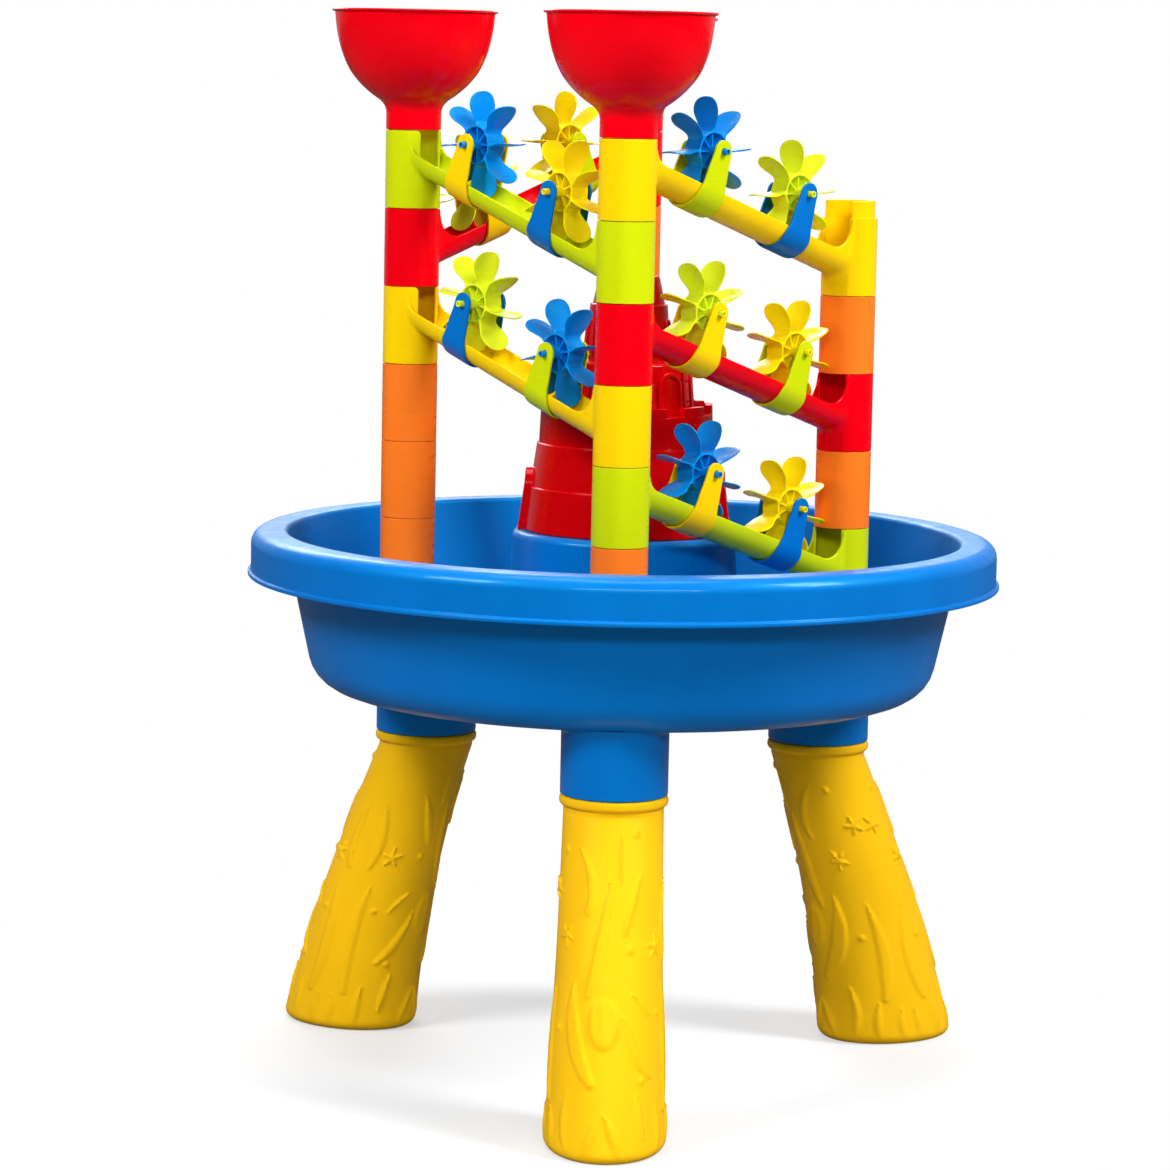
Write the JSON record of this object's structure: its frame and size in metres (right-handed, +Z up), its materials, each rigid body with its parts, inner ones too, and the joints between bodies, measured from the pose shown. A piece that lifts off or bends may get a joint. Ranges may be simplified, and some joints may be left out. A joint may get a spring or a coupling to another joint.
{
  "type": "sand and water table",
  "caption": "Round sand and water table on splayed legs, with tube towers, funnels, sloped chutes, spinning paddle wheels and a castle mould.",
  "frame": {"origin": "middle of the bounding box at the ground, 10.5 mm in front of the tub's own axis", "axes": "+Z up, +X to the right and +Y to the back as the picture shows it"},
  "size_m": [0.605, 0.626, 0.852],
  "materials": {
    "blue_plastic": "semi-gloss moulded",
    "yellow_plastic": "semi-gloss moulded",
    "gold_plastic": "semi-gloss moulded",
    "lime_plastic": "semi-gloss moulded",
    "red_plastic": "semi-gloss moulded",
    "orange_plastic": "semi-gloss moulded"
  },
  "bodies": {
    "table": {"chute_lime_high": "lime_plastic", "chute_lime_low": "lime_plastic", "chute_red_back": "red_plastic", "chute_red_right": "red_plastic", "chute_yellow_high": "yellow_plastic", "chute_yellow_left": "yellow_plastic", "leg_front": "gold_plastic", "leg_left": "gold_plastic", "leg_right": "gold_plastic", "strap_lime_high_lower": "blue_plastic", "strap_lime_high_upper": "yellow_plastic", "strap_lime_low_lower": "blue_plastic", "strap_lime_low_upper": "yellow_plastic", "strap_red_back_lower": "yellow_plastic", "strap_red_back_upper": "lime_plastic", "strap_red_right_lower": "lime_plastic", "strap_red_right_upper": "yellow_plastic", "strap_yellow_high_lower": "blue_plastic", "strap_yellow_high_upper": "lime_plastic", "strap_yellow_left_lower": "lime_plastic", "strap_yellow_left_upper": "blue_plastic", "tub": "blue_plastic", "tube_back_2": "orange_plastic", "tube_back_3": "orange_plastic", "tube_back_4": "orange_plastic", "tube_back_5": "orange_plastic", "tube_back_6": "orange_plastic", "tube_back_7": "orange_plastic", "tube_front_6": "orange_plastic", "tube_front_7": "orange_plastic", "tube_left_4": "orange_plastic", "tube_left_5": "orange_plastic", "tube_left_6": "orange_plastic", "tube_left_7": "orange_plastic", "tube_right_3": "orange_plastic", "tube_right_5": "orange_plastic", "tube_right_7": "orange_plastic"},
    "wheel_lime_high_upper": {"wheel_lime_high_upper": "blue_plastic"},
    "wheel_lime_high_lower": {"wheel_lime_high_lower": "yellow_plastic"},
    "wheel_red_back_upper": {"wheel_red_back_upper": "yellow_plastic"},
    "wheel_red_back_lower": {"wheel_red_back_lower": "lime_plastic"},
    "wheel_yellow_left_upper": {"wheel_yellow_left_upper": "lime_plastic"},
    "wheel_yellow_left_lower": {"wheel_yellow_left_lower": "blue_plastic"},
    "wheel_yellow_high_upper": {"wheel_yellow_high_upper": "blue_plastic"},
    "wheel_yellow_high_lower": {"wheel_yellow_high_lower": "lime_plastic"},
    "wheel_red_right_upper": {"wheel_red_right_upper": "lime_plastic"},
    "wheel_red_right_lower": {"wheel_red_right_lower": "yellow_plastic"},
    "wheel_lime_low_upper": {"wheel_lime_low_upper": "blue_plastic"},
    "wheel_lime_low_lower": {"wheel_lime_low_lower": "yellow_plastic"},
    "castle": {"castle": "red_plastic"},
    "funnel_left": {"funnel_left": "red_plastic"},
    "funnel_front": {"funnel_front": "red_plastic"},
    "funnel_back": {"funnel_back": "red_plastic"}
  },
  "joints": [
    {"name": "wheel_lime_high_upper_spin", "type": "hinge", "parent": "table", "child": "wheel_lime_high_upper", "pos_m": [-0.11594, -0.04856, 0.74745], "axis": [0.7071, 0.7071, 0], "continuous": true},
    {"name": "wheel_lime_high_lower_spin", "type": "hinge", "parent": "table", "child": "wheel_lime_high_lower", "pos_m": [-0.04776, -0.11674, 0.71452], "axis": [0.7071, 0.7071, 0], "continuous": true},
    {"name": "wheel_red_back_upper_spin", "type": "hinge", "parent": "table", "child": "wheel_red_back_upper", "pos_m": [-0.05906, 0.12644, 0.74745], "axis": [0.7071, -0.7071, 0], "continuous": true},
    {"name": "wheel_red_back_lower_spin", "type": "hinge", "parent": "table", "child": "wheel_red_back_lower", "pos_m": [-0.12724, 0.05826, 0.71452], "axis": [0.7071, -0.7071, 0], "continuous": true},
    {"name": "wheel_yellow_left_upper_spin", "type": "hinge", "parent": "table", "child": "wheel_yellow_left_upper", "pos_m": [-0.11594, -0.04856, 0.62345], "axis": [0.7071, 0.7071, 0], "continuous": true},
    {"name": "wheel_yellow_left_lower_spin", "type": "hinge", "parent": "table", "child": "wheel_yellow_left_lower", "pos_m": [-0.04776, -0.11674, 0.59052], "axis": [0.7071, 0.7071, 0], "continuous": true},
    {"name": "wheel_yellow_high_upper_spin", "type": "hinge", "parent": "table", "child": "wheel_yellow_high_upper", "pos_m": [0.05906, -0.10544, 0.74745], "axis": [-0.7071, 0.7071, 0], "continuous": true},
    {"name": "wheel_yellow_high_lower_spin", "type": "hinge", "parent": "table", "child": "wheel_yellow_high_lower", "pos_m": [0.12724, -0.03726, 0.71452], "axis": [-0.7071, 0.7071, 0], "continuous": true},
    {"name": "wheel_red_right_upper_spin", "type": "hinge", "parent": "table", "child": "wheel_red_right_upper", "pos_m": [0.05906, -0.10544, 0.62345], "axis": [-0.7071, 0.7071, 0], "continuous": true},
    {"name": "wheel_red_right_lower_spin", "type": "hinge", "parent": "table", "child": "wheel_red_right_lower", "pos_m": [0.12724, -0.03726, 0.59052], "axis": [-0.7071, 0.7071, 0], "continuous": true},
    {"name": "wheel_lime_low_upper_spin", "type": "hinge", "parent": "table", "child": "wheel_lime_low_upper", "pos_m": [0.05906, -0.10544, 0.49945], "axis": [-0.7071, 0.7071, 0], "continuous": true},
    {"name": "wheel_lime_low_lower_spin", "type": "hinge", "parent": "table", "child": "wheel_lime_low_lower", "pos_m": [0.12724, -0.03726, 0.46652], "axis": [-0.7071, 0.7071, 0], "continuous": true},
    {"name": "castle_lift", "type": "slide", "parent": "table", "child": "castle", "axis": [0, 0, 1], "range_m": [0, 0.25]},
    {"name": "funnel_left_lift", "type": "slide", "parent": "table", "child": "funnel_left", "axis": [0, 0, 1], "range_m": [0, 0.06]},
    {"name": "funnel_front_lift", "type": "slide", "parent": "table", "child": "funnel_front", "axis": [0, 0, 1], "range_m": [0, 0.06]},
    {"name": "funnel_back_lift", "type": "slide", "parent": "table", "child": "funnel_back", "axis": [0, 0, 1], "range_m": [0, 0.06]}
  ]
}
